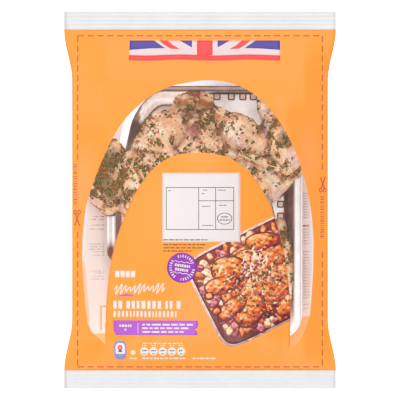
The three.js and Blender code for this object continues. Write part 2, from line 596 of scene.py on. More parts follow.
def superEdge(c, s, power):
    # how far out |x|^power + |y|^power = 1 lies in the direction of a cosine and a sine
    return (np.abs(c) ** power + np.abs(s) ** power) ** (-1 / power)


def disc(centre, half, inner=0.0, power=2.0, tilt=0.0, count=49, cell=layers["cell"]):
    # rings from an inner share to a superellipse's edge, turned by tilt
    angle = np.linspace(0, 2 * np.pi, count)
    c, s = np.cos(angle), np.sin(angle)
    edge = superEdge(c, s, power)
    rings = max(2, int(np.ceil(max(half) * (1 - inner) / cell)) + 1)
    share = np.linspace(inner, 1, rings)[:, None]
    x, y = share * half[0] * edge * c, share * half[1] * edge * s
    turnedX, turnedY = x * np.cos(tilt) - y * np.sin(tilt), x * np.sin(tilt) + y * np.cos(tilt)
    return np.dstack([centre[0] + turnedX, centre[1] + turnedY])


def smallPrint(draw, ink, height, level, lengths, gap, lines, under=False):
    # lines of print (left, right, y) as plain bars of seeded lengths
    for left, right, y in lines:
        while left < right - 1:
            end = min(left + draw.uniform(*lengths), right)
            lay(ink, bar(left, y - height / 2, end, y + height / 2), level, under)
            left = end + gap


flag = {
    "left": 129.2, "middle": 204.75, "top": 40.2, "foot": 60.1, "band": 54.8, "barHalf": 7.75,
    "wave": 0.5, "waveLength": 11, "slant": 0.6, "overlap": 0.3,
    "canton": ([(129.6, 40.2), (153.8, 40.2), (165, 47.9)], [(129.4, 49.7), (149, 48.3), (165, 47.9)]),
    "corner": ([(179.6, 40.2), (191.9, 40.2)], [(191.8, 47.1), (191.9, 47.1)]),
    "slash": ([(159, 40.2), (164, 44.4), (170.7, 48.5)], [(167.6, 40.2), (173, 44.8), (180, 48.9)]),
}


def printFlag():
    # a flag's foot: white ground, red band and bar, and each corner piece with its mirror image
    far = 2 * flag["middle"] - flag["left"]
    x = np.linspace(flag["left"], far, 61)
    wave = flag["wave"] * np.sin((x - flag["left"]) / flag["waveLength"])
    top = np.column_stack([x, np.full(len(x), flag["top"])])
    band = np.column_stack([x, flag["band"] + wave])
    foot = np.column_stack([x - flag["slant"], flag["foot"] + wave])
    lay("pinkInk", between(top, band), 0)
    lay("redInk", between(band, foot), 1)
    half, low = flag["barHalf"], flag["band"] + flag["overlap"]
    lay("redInk", bar(flag["middle"] - half, flag["top"], flag["middle"] + half, low), 1)
    for ink, name in (("blueInk", "canton"), ("blueInk", "corner"), ("redInk", "slash")):
        first, second = (along(side) for side in flag[name])
        grid = between(first, second)
        lay(ink, grid, 1)
        lay(ink, np.dstack([2 * flag["middle"] - grid[..., 0], grid[..., 1]]), 1)


cutLine = {
    "box": (77.7, 35.5, 322.3, 366.7), "dash": 6.4, "pitch": 9.8, "width": 1.05,
    "leftGap": (160, 229), "rightGap": (174, 242),
    "scissors": [(77.1, 219, 1), (322.7, 183, -1)],  # each with the way that its points face
    "blade": [(-1.5, -5), (2.4, 6.5)], "bladeWidth": 1.2, "handle": (2.0, -7), "handleHalf": (1.8, 2.4),
    "sidePrint": [(75.3, 164, 205), (322.3, 196, 238)], "sideHalf": 1.7, "sideSizes": (1.0, 2.6),
    "sideStem": 0.6, "sideGap": 0.7,
}


def printCutLine():
    # dashes round the front, a pair of scissors on each side, and a column of small print beside each
    left, top, right, foot = cutLine["box"]
    half, dash = cutLine["width"] / 2, cutLine["dash"]
    for x in np.arange(left, right - dash, cutLine["pitch"]):
        for y in (top, foot):
            lay("rustInk", bar(x, y - half, x + dash, y + half), 0)
    for y in np.arange(top, foot - dash, cutLine["pitch"]):
        for x, (start, end) in ((left, cutLine["leftGap"]), (right, cutLine["rightGap"])):
            if not start - dash < y < end:
                lay("rustInk", bar(x - half, y, x + half, y + dash), 0)
    for x, y, way in cutLine["scissors"]:
        for side in (-1, 1):
            blade = [(x + side * a, y + way * b) for a, b in cutLine["blade"]]
            lay("rustInk", ribbon(along(blade), cutLine["bladeWidth"]), 1)
            a, b = cutLine["handle"]
            lay("rustInk", disc((x + side * a, y + way * b), cutLine["handleHalf"], inner=0.5, count=21), 1)
    draw = np.random.default_rng(11)
    half, stem = cutLine["sideHalf"], cutLine["sideStem"]
    for x, y, end in cutLine["sidePrint"]:
        while y < end:
            tall = draw.uniform(*cutLine["sideSizes"])
            lay("rustInk", bar(x - half, y, x + half, y + tall / 2), 0)
            if draw.uniform() < 0.6:
                lay("rustInk", bar(x - half, y, x - half + stem, y + tall), 0)
            y += tall + cutLine["sideGap"]


label = {
    "box": (162.5, 172.8, 240, 241.5), "frame": (166.5, 187.3, 233.5, 229), "verticals": (198.7, 215.5),
    "shelf": 200.5, "line": 0.6, "oval": (224.5, 218.2), "ovalHalf": (7.5, 5.8), "level": 9,
    "print": [  # height, level, bar lengths, gap and lines
        (1.0, 10, (2.0, 3.6), 0.6, [(221, 228, 216.5), (219.5, 229.5, 219.6)]),
        (0.7, 10, (1.2, 2.6), 0.5, [
            (168.5, 171.5, 190.5), (203, 207, 190), (202, 205, 193.5), (217.5, 226.5, 190), (202, 210, 206),
            (202, 213, 225), (219, 226, 205),
        ]),
        (0.9, 10, (2.0, 6.0), 0.9, [(163.5, 207.5, 239.3)]),
        (1.0, 1, (2.0, 6.0), 0.9, [(163.5, 206.5, 244.2), (163.5, 203, 247.3), (163.5, 192, 250.4)]),
    ],
}


def printLabel():
    # a stuck label: boxes drawn with thin lines, an oval ring, and short bars for its small print
    level = label["level"]
    lay("labelInk", bar(*label["box"]), level)
    left, top, right, foot = label["frame"]
    thin = label["line"] / 2
    lines = [(left, top, right, top), (left, foot, right, foot)]
    lines += [(x, top, x, foot) for x in (left, right, *label["verticals"])]
    lines.append((label["verticals"][0], label["shelf"], right, label["shelf"]))
    for x1, y1, x2, y2 in lines:
        lay("darkInk", bar(x1 - thin, y1 - thin, x2 + thin, y2 + thin), level + 1)
    lay("darkInk", disc(label["oval"], label["ovalHalf"], inner=0.9), level + 1)
    draw = np.random.default_rng(12)
    for row in label["print"]:
        smallPrint(draw, "darkInk", *row)


badge = {
    "centre": (182.2, 267), "radius": 15.1, "marks": 30, "runOf": 10, "drawn": 8, "ring": (10.3, 12.9),
    "markWidth": (0.7, 1.3), "tilt": 0.14, "rules": (-5.6, 5.6), "ruleHalf": 8.6, "ruleWidth": 0.6,
    "bars": [(-2.0, 7.6), (2.2, 6.8)], "barSizes": (1.2, 2.2), "barWidth": 2.7, "barGap": 0.55, "level": 11,
}


def printBadge():
    # a round purple badge: a ring of short white marks, two wavy rules and plain bars, all a little turned
    centre, level = np.array(badge["centre"]), badge["level"]
    lay("purpleInk", disc(centre, (badge["radius"],) * 2, count=61), level)
    draw = np.random.default_rng(13)
    for step in range(badge["marks"]):
        if step % badge["runOf"] < badge["drawn"]:
            angle = 2 * np.pi * step / badge["marks"] + 0.2
            out = np.array([np.cos(angle), np.sin(angle)])
            ends = centre + out * np.array(badge["ring"])[:, None]
            lay("whiteInk", ribbon(ends, draw.uniform(*badge["markWidth"])), level + 1)
    ahead = np.array([np.cos(badge["tilt"]), np.sin(badge["tilt"])])
    down = np.array([-ahead[1], ahead[0]])
    span = np.linspace(-badge["ruleHalf"], badge["ruleHalf"], 19)
    for offset in badge["rules"]:
        wave = offset + 0.5 * np.sin(span * 1.1)
        path = centre + span[:, None] * ahead + wave[:, None] * down
        lay("whiteInk", ribbon(path, badge["ruleWidth"]), level + 1)
    for offset, length in badge["bars"]:
        start = -length
        while start < length:
            end = min(start + draw.uniform(*badge["barSizes"]), length)
            ends = centre + np.array([[start], [end]]) * ahead + offset * down
            lay("whiteInk", ribbon(ends, badge["barWidth"]), level + 1)
            start = end + badge["barGap"]


titles = {
    "rows": [
        (115.3, 136.4, 270.2, 276.8, (3.4, 4.6), 1.0), (113.5, 182, 300.2, 308.2, (2.4, 4.4), 1.7),
        (113.5, 178.5, 310.4, 316.4, (1.4, 2.6), 1.7),
    ],
    "flourish": (114.5, 165, 287.6, 5.4, 11), "flourishWidth": 0.95,
    "swash": [(117.5, 295.9), (127, 294.4), (136.5, 295.7)], "swashWidth": 1.7,
    "banner": (113.2, 198.2, 319.8, 334.6), "rule": (137.9, 322.4, 138.4, 333.4),
    "ragged": (0.3, 0.2, 0.5, 0.3, 0.8, 0.6, 1.2, 1.8, 3.2),
    "notch": (0, 0.1, 0.1, 0.2, 0.9, 3.6, 1.0, 0.6, 0.8),
    "print": [  # height, level, bar lengths, gap and lines
        (2.4, 2, (1.6, 2.6), 0.6, [(119.5, 132.5, 325.2)]),
        (2.0, 2, (1.6, 2.6), 0.6, [(124.6, 126.4, 329)]),
        (1.7, 2, (3.0, 9.5), 1.3, [(142.2, 195, 324), (142.2, 189.5, 327.6), (142.2, 184, 331.3)]),
    ],
}


def printTitles():
    # blocks in rows, a drawn-out flourish over a purple swash, and a brushed banner with rules on it
    draw = np.random.default_rng(14)
    for x, right, top, foot, width, gap in titles["rows"]:
        while x < right - 1:
            end = min(x + draw.uniform(*width), right)
            lay("whiteInk", bar(x, top, end, foot), 1)
            x = end + gap * (1 if draw.uniform() > 0.15 else 2.4)
    left, right, middle, tall, swings = titles["flourish"]
    t = np.linspace(0, 1, 170)
    rise = tall * (0.35 + 0.65 * np.sin(np.pi * (0.2 + 2.6 * t)) ** 2) * np.sin(2 * np.pi * swings * t)
    x = left + (right - left) * t + 0.4 * rise
    path = np.column_stack([x, middle + 1.5 - 2 * t - rise])
    lay("whiteInk", ribbon(path, titles["flourishWidth"]), 1)
    width = titles["swashWidth"] * np.sin(np.linspace(0.12, np.pi - 0.12, 17))
    lay("lilacInk", ribbon(curveThrough(titles["swash"], 17), width), 1)
    left, right, top, foot = titles["banner"]
    y = np.linspace(top, foot, len(titles["ragged"]))
    start, end = left + np.array(titles["ragged"]), right - np.array(titles["notch"])
    lay("lilacInk", between(np.column_stack([start, y]), np.column_stack([end, y])), 1)
    lay("peachInk", bar(*titles["rule"]), 2)
    for row in titles["print"]:
        smallPrint(draw, "whiteInk", *row)


foot = {
    "marks": [  # ink, centre, half sizes, level and shape of each
        ("whiteInk", (120.4, 349.6), (6.3, 9.6), 1, {"power": 3.2}),
        ("mistInk", (120.4, 349.6), (6.3, 9.6), 2, {"inner": 0.76, "power": 3.2}),
        ("redInk", (120.2, 347.2), (2.5, 2.7), 2, {"inner": 0.35, "count": 25}),
        ("blueInk", (120.3, 350.6), (1.9, 1.1), 3, {"count": 21}),
        ("peachInk", (133.2, 352.2), (2.6, 2.6), 1, {"count": 31}),
    ],
    "plate": (115.8, 353.4, 125.2, 357), "discs": (144.4, 153.6, 162.8, 172.0, 181.2), "discY": 351,
    "discRadius": 4.3,
}


def printFoot():
    # a plain shield, a pale round mark, and five white discs with a dash and a coloured foot in each
    for ink, centre, half, level, shape in foot["marks"]:
        lay(ink, disc(centre, half, **shape), level)
    lay("mistInk", bar(*foot["plate"]), 2)
    draw = np.random.default_rng(15)
    smallPrint(draw, "peachInk", 1.4, 1, (2.0, 4.0), 0.7, [(129.5, 137.5, 358)])
    for place, x in enumerate(foot["discs"]):
        y, radius = foot["discY"], foot["discRadius"]
        lay("whiteInk", disc((x, y), (radius, radius), count=33), 1)
        smallPrint(draw, "darkInk", 1.2, 2, (1.0, 1.8), 0.4, [(x - 2.2, x + 2.4, y - 0.9)])
        lay("blueInk" if place == 0 else "darkInk", bar(x - 1.3, y + 2.0, x + 1.3, y + 2.7), 2)
        smallPrint(draw, "peachInk", 1.0, 1, (1.4, 3.0), 0.5, [(x - 2.6, x + 2.6, y - 6)])
    smallPrint(draw, "peachInk", 1.2, 1, (2.0, 6.0), 0.8, [(143, 183, 342.8)])
    smallPrint(draw, "whiteInk", 1.3, 1, (2.0, 6.0), 0.8, [(142, 186, 358), (192.5, 216, 358)])


# The serving picture: rounded shapes shaded as if lit from the upper left, in one piece with its own tints.
roast = {
    "centre": (259.3, 279.2), "half": (62, 50.4), "tilt": -0.464, "power": 8.0, "rimShare": 0.96,
    "light": (-0.5, -0.55, 0.67), "cell": 1.5, "level": 0.9,
    "palettes": {  # from shade to highlight
        "rim": [(176, 132, 120), (226, 204, 196), (246, 236, 230)],
        "ground": [(58, 22, 40), (104, 40, 44), (164, 78, 62)],
        "skin": [(96, 34, 44), (188, 66, 42), (232, 108, 48), (246, 156, 70), (255, 210, 154)],
        "shine": [(240, 176, 130), (250, 214, 186), (255, 240, 228)],
        "root": [(116, 40, 28), (206, 84, 38), (244, 138, 62), (252, 190, 124)],
        "pale": [(140, 80, 56), (212, 154, 102), (244, 210, 164), (254, 240, 220)],
        "onion": [(80, 22, 40), (146, 46, 68), (206, 96, 112), (240, 184, 180)],
        "herb": [(48, 46, 24), (96, 96, 46), (132, 130, 70)],
    },
    # the bird: place along and across the dish, half length, half width and turn
    "bird": [
        (2, 0, 44, 37, 0.0), (5, -13, 34, 20, 0.1), (5, 13, 34, 20, -0.1), (-22, -22, 18, 13, 0.5),
        (-22, 23, 18, 13, -0.5), (-37, -12, 16, 8, 0.25), (-37, 13, 16, 8, -0.25), (-52, -8, 4, 3, 0.2),
        (-52, 9, 4, 3, -0.2), (20, -33, 17, 8, 0.35), (18, 34, 17, 8, -0.35),
    ],
    "border": 116, "rows": [(0.66, 0.76), (0.81, 0.87)], "borderPower": 5, "borderSize": (3.5, 7),
    "borderKinds": ("pale", "root", "onion", "onion", "ground", "pale", "root"),
    "stretch": {"pale": 0.75, "root": 0.45, "onion": 0.8, "ground": 0.6},
    "crumbs": 900, "crumbSpread": (22, 18), "crumbSize": 2.4,
    "crumbKinds": ("ground", "herb", "skin", "onion", "root", "ground", "pale"),
    "shines": 60, "shineSpread": (15, 11), "shineMiddle": (-2, -9), "shineSize": (1, 7), "outline": 1.2,
    "spreadMost": 1.9, "grain": [(9, 41, 0.16), (4, 42, 0.2), (2.2, 43, 0.14)],  # wavelength, seed and share
}
roastParts, roastTints = [], []


def dishPlace(a, b):
    # a place on the dish, along its length and width, as a photo place
    c, s = np.cos(roast["tilt"]), np.sin(roast["tilt"])
    return roast["centre"][0] + a * c - b * s, roast["centre"][1] + a * s + b * c


def onDish(palette, place, half, power=2.2, turn=0.0, order=0, domed=1.0, count=41):
    # a shape of the picture: its tone is a dome's lighting plus noise, and picks from its palette
    tilt = roast["tilt"] + turn
    grid = disc(dishPlace(*place), half, power=power, tilt=tilt, count=count, cell=roast["cell"])
    share = np.linspace(0, 1, len(grid))[:, None]
    angle = np.linspace(0, 2 * np.pi, count) + tilt
    slope = domed * share ** 1.5
    up = np.sqrt(np.maximum(1 - slope * slope, 0))
    lightX, lightY, lightZ = roast["light"]
    facing = slope * (np.cos(angle) * lightX + np.sin(angle) * lightY) + up * lightZ
    grain = sum(part * waves(grid, *field) for *field, part in roast["grain"])
    tone = np.clip(0.12 + 0.78 * facing + grain * (0.6 + 0.5 * domed) - 0.25 * (share > 0.97), 0, 1)
    colours = np.array([linear(*rgb)[:3] for rgb in roast["palettes"][palette]])
    steps = np.linspace(0, 1, len(colours))
    tint = np.stack([np.interp(tone, steps, colours[:, i]) for i in range(3)], axis=-1)
    limit = innerEdges(grid[..., 1])[1] - 0.5
    flat = fromPhoto(np.dstack([np.minimum(grid[..., 0], limit), grid[..., 1]]))
    height = layers["first"] + layers["step"] * roast["level"] * order
    points = np.dstack([flat, filmTop(flat[..., 0], flat[..., 1]) + height])
    roastParts.append((points, gridQuads(*grid.shape[:2])[:, ::-1]))
    roastTints.append(tint.reshape(-1, 3))


def scattered(draw):
    # a normal draw in two directions, none far out
    return np.clip(draw.normal(0, 1, 2), -roast["spreadMost"], roast["spreadMost"])


def drawRoast():
    # a dish, its border of roots, potatoes and onions in two rows, and a roast bird under crumbs and shines
    half = np.array(roast["half"])
    onDish("rim", (0, 0), half, roast["power"], domed=0.55, count=145)
    onDish("ground", (0, 0), half * roast["rimShare"], roast["power"], order=1, domed=0.35, count=145)
    draw = np.random.default_rng(16)
    for step in range(roast["border"]):
        angle = 2 * np.pi * (step // 2) / (roast["border"] // 2) + draw.uniform(-0.05, 0.05)
        c, s = np.cos(angle), np.sin(angle)
        edge = superEdge(c, s, roast["borderPower"]) * draw.uniform(*roast["rows"][step % 2])
        palette = roast["borderKinds"][step % len(roast["borderKinds"])]
        size = draw.uniform(*roast["borderSize"])
        turn = angle + draw.uniform(-0.9, 0.9)
        place = half[0] * edge * c, half[1] * edge * s
        onDish(palette, place, (size, size * roast["stretch"][palette]), 2.3, turn, 2 + step % 3, count=21)
    rim = roast["outline"]
    for order, (a, b, long, wide, turn) in enumerate(roast["bird"]):
        onDish("ground", (a, b), (long + rim, wide + rim), 2.2, turn, 5 + order, domed=0.1)
        onDish("skin", (a, b), (long, wide), 2.2, turn, 5.5 + order)
    for step in range(roast["crumbs"]):
        size = draw.uniform(0.4, 1.0) ** 2 * roast["crumbSize"]
        palette = roast["crumbKinds"][step % len(roast["crumbKinds"])]
        place = scattered(draw) * roast["crumbSpread"]
        onDish(palette, place, (size, size * 0.6), 2, draw.uniform(0, 3), 18, 0.4, 7)
    for step in range(roast["shines"]):
        place = scattered(draw) * roast["shineSpread"] + roast["shineMiddle"]
        long = draw.uniform(*roast["shineSize"])
        onDish("shine", place, (long, long * 0.22), 2, draw.uniform(-1.2, -0.2), 17, 0.7, 17)


def roastMaterial():
    # the picture's own colours, broken by a fine mottle
    material, bsdf, where = newMaterial("roastInk", Roughness=0.32, Specular_IOR_Level=0.35)
    tint = attribute(bsdf, "tint").node.outputs["Color"]
    dim = times(mottle(where, 260.0, 4.0), 0.3)
    feed(bsdf, Base_Color=mixColour(dim, tint, (120, 48, 36)))
    ripple(bsdf, where, 0.0006)
    return material


drawRoast()
roastPrint = addPiece(
    "roastPrint", *joined(roastParts), roastMaterial(), "roast_ink", 0.01, layers["thickness"], thin=True
)
tints = np.vstack(roastTints)
tints = np.column_stack([tints, np.ones(len(tints))]).astype(np.float32)
roastPrint.data.attributes.new("tint", "FLOAT_COLOR", "POINT").data.foreach_set("color", tints.ravel())
print("serving picture drawn,", len(roastParts), "shapes")

showThrough = {
    "left": (88, 104, [216.5, 219.3, 225, 229, 244, 246.6, 249.2, 251.8, 255, 271, 273, 276.4, 279]),
    "right": (303.6, 310, [
        *np.arange(193, 218, 2.7), *np.arange(229, 244, 2.9), *np.arange(251.5, 298, 2.9), 304.5, 309,
    ]),
    "red": (303.4, 224.7, 309.8, 226.5), "box": [(99.6, 305.6, 101.4, 330), (99.6, 305.6, 107, 307.2)],
    "edges": [("hazeInk", 0, 196, 270, 3.6), ("bloomInk", 0, 246, 336, 3.4), ("hazeInk", 1, 196, 318, 1.6)],
}


def printBehind():
    # faint rules inside the back film, and a pale rim along the window's two legs
    draw = np.random.default_rng(17)
    for side in ("left", "right"):
        start, end, lines = showThrough[side]
        for y in lines:
            ragged = draw.uniform(0, 5) * (side == "left")
            smallPrint(draw, "greyInk", 0.9, 4, (4, 12), 0.8, [(start + ragged, end, y)], under=True)
    lay("roseInk", bar(*showThrough["red"]), 6, under=True)
    for sides in showThrough["box"]:
        lay("bloomInk", bar(*sides), 4, under=True)
    for ink, side, top, low, width in showThrough["edges"]:
        y = np.linspace(top, low, 50)
        edge = archEdges(y)[side]
        reach = width * smooth((y - top) / 30) * smooth((low - y) / 26) * (1 - 2 * side)
        lay(ink, between(np.column_stack([edge, y]), np.column_stack([edge + reach, y])), -2)


for layPrint in (printFlag, printCutLine, printLabel, printBadge, printTitles, printFoot, printBehind):
    layPrint()
for name, parts in marks.items():
    addPiece(name, *joined(parts), inks[name], inkColours[name][0], 0.01, layers["thickness"], thin=True)
print("print laid,", sum(len(parts) for parts in marks.values()), "marks")


def sealMaterial():
    # milky film: two greys in clouds, and the ripple as bump
    material, bsdf, where = newMaterial("sealFilm", Roughness=0.34)
    cloud = mottle(where, 40.0, 1.8)
    feed(bsdf, Base_Color=mixColour(cloud, (204, 204, 205), (214, 214, 215)))
    ripple(bsdf, where, 0.0004)
    return material


def sealSlab(side):
    # both faces of a flat crimped end: a closed loop in Y and Z, carried along X and capped
    across = np.linspace(-1, 1, 61)
    out = np.linspace(sealStart, bag["length"] / 2, 37) * side
    x = across[:, None] * halfWidth(out)[None, :]
    y = np.repeat(out[None, :], len(across), axis=0)
    middle, half = bag["sealHeight"] + ribs(y), bag["sealThickness"] / 2
    top, low = np.dstack([x, y, middle + half]), np.dstack([x, y, middle - half])[:, ::-1]
    loop = np.concatenate([top, low], axis=1)
    count = loop.shape[1]
    first = np.arange(count // 2 - 1)
    cap = np.stack([first, first + 1, count - 2 - first, count - 1 - first], axis=1)
    last = cap[:, ::-1] + (len(across) - 1) * count
    quads = np.vstack([gridQuads(len(across), count, closed=True), cap, last])
    return loop.reshape(-1, 3), quads if side < 0 else quads[:, ::-1]


addPiece("crimpedSeals", *joined([sealSlab(1), sealSlab(-1)]), sealMaterial(), "seal_film")

# The back film, which lies under the tray and shows its inside through the window.
back = {
    "panel": (-130, 130, -137.9, 150), "footSlope": 0.084, "whiteFrom": (116, 122), "duskFrom": (-20, -120),
    "glow": 0.16, "rows": 150, "columns": 96,
}


def backMaterial():
    # orange print with a pale panel, whiter beyond the head of the tray, and its own colour as a faint
    # emission: painted light from behind
    material, bsdf, where = newMaterial("backFilm", Roughness=0.32, Emission_Strength=back["glow"])
    split = node(bsdf, "SeparateXYZ", where).outputs
    left, right, foot, head = (v * mm for v in back["panel"])
    slant = maths("MULTIPLY_ADD", split["X"], -back["footSlope"], split["Y"])
    inside = 1.0
    for place, low, high in ((split["X"], left, right), (slant, foot, head)):
        for limit, sign in ((low, 1), (high, -1)):
            apart = maths("SUBTRACT", place, limit)
            inside = times(inside, stepped(apart, -mm * sign, mm * sign))
    white, dusk = (stepped(split["Y"], *(v * mm for v in back[key])) for key in ("whiteFrom", "duskFrom"))
    panel = mixColour(white, mixColour(dusk, (253, 237, 230), (240, 220, 212)), (232, 228, 232))
    ground = mixColour(mottle(where, 30.0, 1.6), (246, 176, 106), (248, 186, 122))
    colour = mixColour(inside, ground, panel)
    # the emission is painted light, standing in for light through the film
    feed(bsdf, Base_Color=colour, Emission_Color=colour)
    ripple(bsdf, where, 0.0005)
    return material


def backFilm():
    # the underside between the seals, with its side edges raised to meet the front film
    share = np.sin(np.linspace(-1, 1, back["columns"]) * np.pi / 2)
    y = np.linspace(-sealStart, sealStart, back["rows"])[:, None]
    x = share[None, :] * halfWidth(y)
    y = y + 0 * x
    points = np.dstack([x, y, filmUnder(x, y)])
    rim = np.dstack([x, y, filmTop(x, y)])
    points = np.concatenate([rim[:, :1], points, rim[:, -1:]], axis=1)
    return points.reshape(-1, 3), gridQuads(back["rows"], back["columns"] + 2)[:, ::-1]


addPiece("printedBack", *backFilm(), backMaterial(), "back_film", thickness=bag["filmThickness"])
print("seals and back film made")

# The foil tray: outlines (left, right, foot, head, corner radius, height) from its rolled edge to its
# floor, and the places of its pressed squares.
tray = {
    "outlines": [
        (-100.6, 111, -152.6, 124, 39, 44.6), (-101.6, 112, -153.6, 125, 40, 45.2),
        (-102, 112.4, -154, 125.4, 40, 46.2), (-101.4, 111.8, -153.4, 124.8, 40, 47.2),
        (-99.8, 110.2, -152.2, 123.6, 38, 47.4), (-98.8, 109.2, -151.4, 122.8, 37, 46.6),
        (-96, 106.4, -149.4, 121.5, 35, 46), (-94.6, 105, -148, 120.5, 33, 46),
        (-93.4, 103.8, -147, 119.9, 32, 44.6), (-89.6, 99.5, -145, 119, 34, 22),
        (-86.4, 96, -143.6, 118.2, 38, 4.6), (-84.6, 94.4, -142.2, 117.6, 39, 2.2),
        (-81, 91, -139, 114.6, 38, 1.6),
    ],
    "sideSteps": 46, "cornerSteps": 22, "between": 7, "floorRings": 26, "middle": (6, -15),
    "cornerScale": (1, 1.3, 1, 0.72),  # head right, head left, foot left, foot right
    "lean": (20.5, -12, 125), "dent": (9, -58, 16),  # the left side leans in: most, from where, over what
    "recess": (12.5, -38, 25), "recessSide": 6,  # how far the floor's edge stands back at the head's left
    "headRamps": [("z", 44, -40), ("y", 80, 20)],
    "sideRamps": [("z", 44, -40), ("y", 60, 30), ("x", 0, -50)],
    "pleat": 0.7, "pleats": 9, "pleatCentre": (50, 84),
    "pleatRamps": [("across", 45, 18), ("along", 78, 20), ("z", 44, -10), ("z", 3, 8)],
    "crinkles": [(17, 21, 0.35), (6, 22, 0.12)],  # wavelength, seed and height
    "overFilm": 0.6, "underFilm": 1.0, "squareLift": 2.3, "ledgeRise": 20, "ledgeRamps": [("y", 84, 22)],
    "squareSize": 7.0, "squareRise": 1.1, "headRow": (114, [18.7, 34.6, 47.3, 58.9, 71]),
    "sideColumn": (89, [60, 47, 34, 21, 8, -4.7, -17.7, -30.7, -43.7, -56.7, -69.7, -82.7]),
    "squareShares": (0.01, 0.4, 0.7, 0.8, 0.9, 1.0, 1.14), "squareHeights": (1, 1, 0.95, 0.7, 0.3, 0.05, 0),
    # the squares' painted shade ring by ring, and a painted highlight on the tops that have less of it
    "squareShades": (0.64, 0.64, 0.66, 0.95, 1, 1, 0.7), "squareHighlight": 0.66, "highlightBelow": 0.68,
}


def roundedLoop(left, right, foot, head, radius, height):
    # a rounded rectangle as four quarter circles and four straights, from the middle of the right side
    quarter = np.linspace(0, np.pi / 2, tray["cornerSteps"], endpoint=False)
    straight = np.linspace(0, 1, tray["sideSteps"], endpoint=False)[:, None]
    arcs, ends = [], []
    places = ((right, head, -1, -1), (left, head, 1, -1), (left, foot, 1, 1), (right, foot, -1, 1))
    for turn, (x, y, signX, signY) in enumerate(places):
        reach = radius * tray["cornerScale"][turn]
        angle = np.append(quarter + turn * np.pi / 2, (turn + 1) * np.pi / 2)
        spokes = np.column_stack([np.cos(angle), np.sin(angle)])
        arc = [x + signX * reach, y + signY * reach] + reach * spokes
        arcs.append(arc[:-1])
        ends.append(arc[-1])
    points = []
    for place, (arc, end) in enumerate(zip(arcs, ends)):
        points += [arc, end + straight * (arcs[(place + 1) % 4][0] - end)]
    flat = np.vstack(points)
    return np.column_stack([flat, np.full(len(flat), height)])


def leaned(x, y):
    # the left side's shift towards the head and at its dent, shared out by how far left a place lies
    most, start, over = tray["lean"]
    deep, dentStart, dentOver = tray["dent"]
    shift = most * smooth((y - start) / over) + deep * smooth((dentStart - y) / dentOver)
    return x + shift * smooth(-x / 90)


def ramped(places, ramps):
    # a product of smooth steps along named axes: each is 0 at its start and 1 from a reach past it
    share = 1.0
    for axis, start, reach in ramps:
        share = share * smooth((places[axis] - start) / reach)
    return share


def trayShell():
    # the outlines lofted by smooth curves, then rings that shrink to the floor's middle; the floor's edge
    # set back, the corners pleated, the left side leaned in and the foil crinkled, between the two films
    outlines = curveThrough(tray["outlines"], (len(tray["outlines"]) - 1) * tray["between"] + 1)
    rings = np.stack([roundedLoop(*values) for values in outlines])
    floor = rings[-1]
    centre = floor.mean(axis=0)
    shares = 1 - np.linspace(0, 1, tray["floorRings"])[1:]
    rings = np.concatenate([rings, centre + (floor - centre) * shares[:, None, None]])
    x, y, z = np.moveaxis(rings, -1, 0)
    x = x + tray["recessSide"] * ramped({"x": x, "y": y, "z": z}, tray["sideRamps"])
    y = y - bell(x, *tray["recess"]) * ramped({"y": y, "z": z}, tray["headRamps"])
    dx, dy = x - tray["middle"][0], y - tray["middle"][1]
    across, along = np.abs(dx), np.abs(dy)
    angle = np.arctan2(along - tray["pleatCentre"][1], across - tray["pleatCentre"][0])
    reach = ramped({"across": across, "along": along, "z": z}, tray["pleatRamps"])
    pleat = tray["pleat"] * reach * np.sin(angle * 4 * tray["pleats"])
    pleat = pleat / np.maximum(np.hypot(dx, dy), 1)
    x, y = leaned(x + pleat * dx, y), y + pleat * dy
    places = np.dstack([x, y, z])
    z = z + sum(height * waves(places, *field) for *field, height in tray["crinkles"])
    z = np.minimum(np.maximum(z, filmUnder(x, y) + tray["overFilm"]), filmTop(x, y) - tray["underFilm"])
    return np.dstack([x, y, z]), gridQuads(len(rings), rings.shape[1], closed=True)


def traySquares():
    # rounded squares raised in the floor's edge: a superellipse's rings, low at the rim, and their painted
    # shade
    headY, headX = tray["headRow"]
    sideX, sideY = tray["sideColumn"]
    places = [(x, headY) for x in headX] + [(sideX, y) for y in sideY]
    share = np.array(tray["squareShares"])[:, None]
    rise = np.array(tray["squareHeights"])[:, None] * tray["squareRise"]
    angle = np.linspace(0, 2 * np.pi, 25)
    c, s = np.cos(angle), np.sin(angle)
    edge = superEdge(c, s, 6) * tray["squareSize"] / 2
    parts = []
    for x, y in places:
        px, py = x + share * edge * c, y + share * edge * s
        points = np.dstack([px, py, filmUnder(px, py) + tray["squareLift"] + rise])
        parts.append((points, gridQuads(len(share), len(angle))[:, ::-1]))
    return joined(parts), np.tile(np.repeat(tray["squareShades"], len(angle)), len(places))


def foilMaterial():
    # pressed foil: finely crinkled, brown by one mask as painted shade and painted reflection, and glowing
    # by emission as a painted highlight by another
    material, bsdf, where = newMaterial("foil", Metallic=0.1, Specular_IOR_Level=0.3, Emission_Strength=1.0)
    cloud = mottle(where, 45.0, 2.2)
    drawn = node(bsdf, "Mapping", where, Scale=(0.3, 0.3, 1.0)).outputs[0]
    streak = mottle(drawn, 110.0, 4.0)
    paintedShade = attribute(bsdf, "paintedShade")
    bright = mixColour(cloud, (238, 230, 228), (255, 252, 250))
    brown = mixColour(streak, (84, 38, 18), (142, 80, 48))
    # the emission's colour, warmer under the painted shade: this glow is a painted highlight
    lit = mixColour(paintedShade, mixColour(streak, (158, 150, 148), (226, 222, 220)), (190, 146, 112))
    feed(
        bsdf, Base_Color=mixColour(paintedShade, bright, brown), Roughness=ranged(cloud, 0.3, 0.5),
        Emission_Color=mixColour(attribute(bsdf, "paintedHighlight"), (0, 0, 0), lit),
    )
    bump(bsdf, mottle(where, 150.0, 2.0), 0.0004)
    return material


